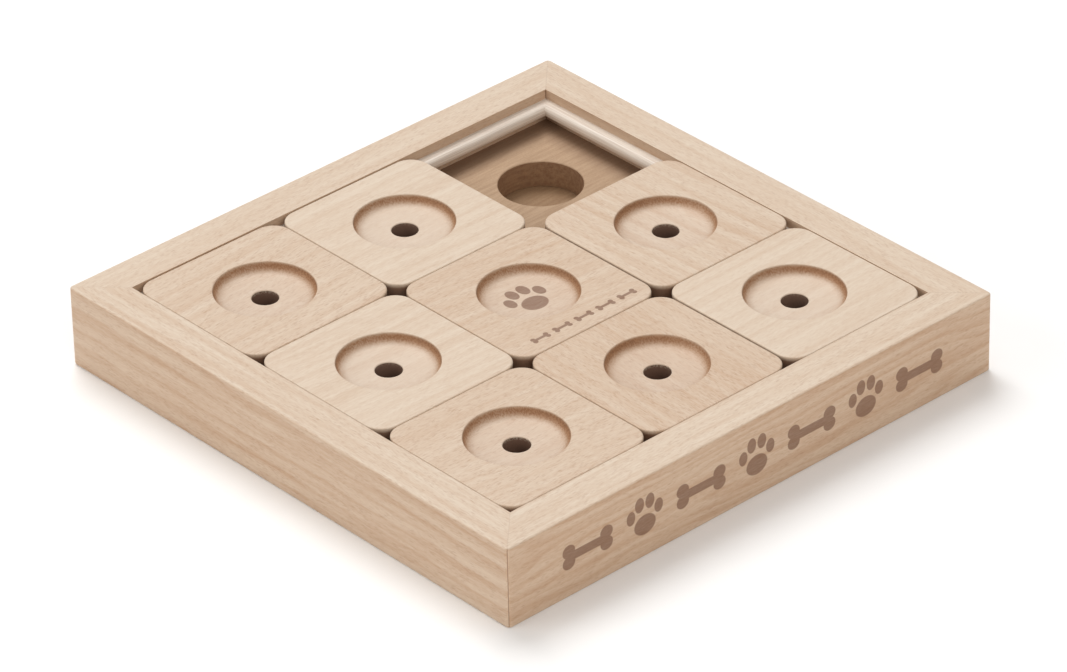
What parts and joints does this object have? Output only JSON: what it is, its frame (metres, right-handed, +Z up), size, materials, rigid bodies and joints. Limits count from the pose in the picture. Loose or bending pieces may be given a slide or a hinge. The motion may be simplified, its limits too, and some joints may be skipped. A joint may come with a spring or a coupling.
{
  "type": "dog puzzle feeder toy",
  "caption": "Square wooden tray with round treat wells under sliding tiles that interlock by tongues and grooves, leaving an open cell.",
  "frame": {"origin": "middle of the footprint on the surface that the tray stands on", "axes": "+Z up, +X towards the right rail, +Y towards the back rail; the open cell is at +X +Y"},
  "size_m": [0.28, 0.28, 0.039],
  "materials": {
    "frame_wood": "fine-sanded beech, bare or lightly oiled",
    "tile_wood": "fine-sanded beech, bare or lightly oiled",
    "board_wood": "sanded beech board",
    "strip_wood": "smooth pale beech strip",
    "panel_wood": "thin beech panel"
  },
  "bodies": {
    "tray": {"front_rail": "frame_wood", "right_rail": "frame_wood", "back_rail": "frame_wood", "left_rail": "frame_wood", "bottom_panel": "panel_wood", "well_board": "board_wood", "back_guide_strip": "strip_wood", "right_guide_strip": "strip_wood"},
    "front_left_tile": {"front_left_tile": "tile_wood", "front_left_tile_front_tongue": "strip_wood", "front_left_tile_left_tongue": "strip_wood"},
    "middle_left_tile": {"middle_left_tile": "tile_wood", "middle_left_tile_front_tongue": "strip_wood", "middle_left_tile_left_tongue": "strip_wood"},
    "back_left_tile": {"back_left_tile": "tile_wood", "back_left_tile_front_tongue": "strip_wood", "back_left_tile_left_tongue": "strip_wood"},
    "front_middle_tile": {"front_middle_tile": "tile_wood", "front_middle_tile_front_tongue": "strip_wood", "front_middle_tile_left_tongue": "strip_wood"},
    "centre_tile": {"centre_tile": "tile_wood", "centre_tile_front_tongue": "strip_wood", "centre_tile_left_tongue": "strip_wood"},
    "back_middle_tile": {"back_middle_tile": "tile_wood", "back_middle_tile_front_tongue": "strip_wood", "back_middle_tile_left_tongue": "strip_wood"},
    "front_right_tile": {"front_right_tile": "tile_wood", "front_right_tile_front_tongue": "strip_wood", "front_right_tile_left_tongue": "strip_wood"},
    "middle_right_tile": {"middle_right_tile": "tile_wood", "middle_right_tile_front_tongue": "strip_wood", "middle_right_tile_left_tongue": "strip_wood"}
  },
  "joints": [
    {"name": "back_middle_tile_slide", "type": "slide", "parent": "tray", "child": "back_middle_tile", "axis": [1, 0, 0], "range_m": [0, 0.0809]},
    {"name": "back_left_tile_slide", "type": "slide", "parent": "tray", "child": "back_left_tile", "axis": [1, 0, 0], "range_m": [0, 0.0809]},
    {"name": "middle_right_tile_slide", "type": "slide", "parent": "tray", "child": "middle_right_tile", "axis": [0, -1, 0], "range_m": [-0.0809, 0]},
    {"name": "front_right_tile_slide", "type": "slide", "parent": "tray", "child": "front_right_tile", "axis": [0, -1, 0], "range_m": [-0.0809, 0]},
    {"name": "centre_tile_slide", "type": "slide", "parent": "tray", "child": "centre_tile", "axis": [1, 0, 0], "range_m": [-0.00025, 0.00085]},
    {"name": "front_middle_tile_slide", "type": "slide", "parent": "tray", "child": "front_middle_tile", "axis": [1, 0, 0], "range_m": [-0.00025, 0.00085]},
    {"name": "middle_left_tile_slide", "type": "slide", "parent": "tray", "child": "middle_left_tile", "axis": [1, 0, 0], "range_m": [-0.00025, 0.00025]},
    {"name": "front_left_tile_slide", "type": "slide", "parent": "tray", "child": "front_left_tile", "axis": [1, 0, 0], "range_m": [-0.00025, 0.00025]}
  ],
  "couplings": [
    {"joint": "back_left_tile_slide", "follows": "back_middle_tile_slide", "ratio": 1},
    {"joint": "front_right_tile_slide", "follows": "middle_right_tile_slide", "ratio": 1}
  ]
}
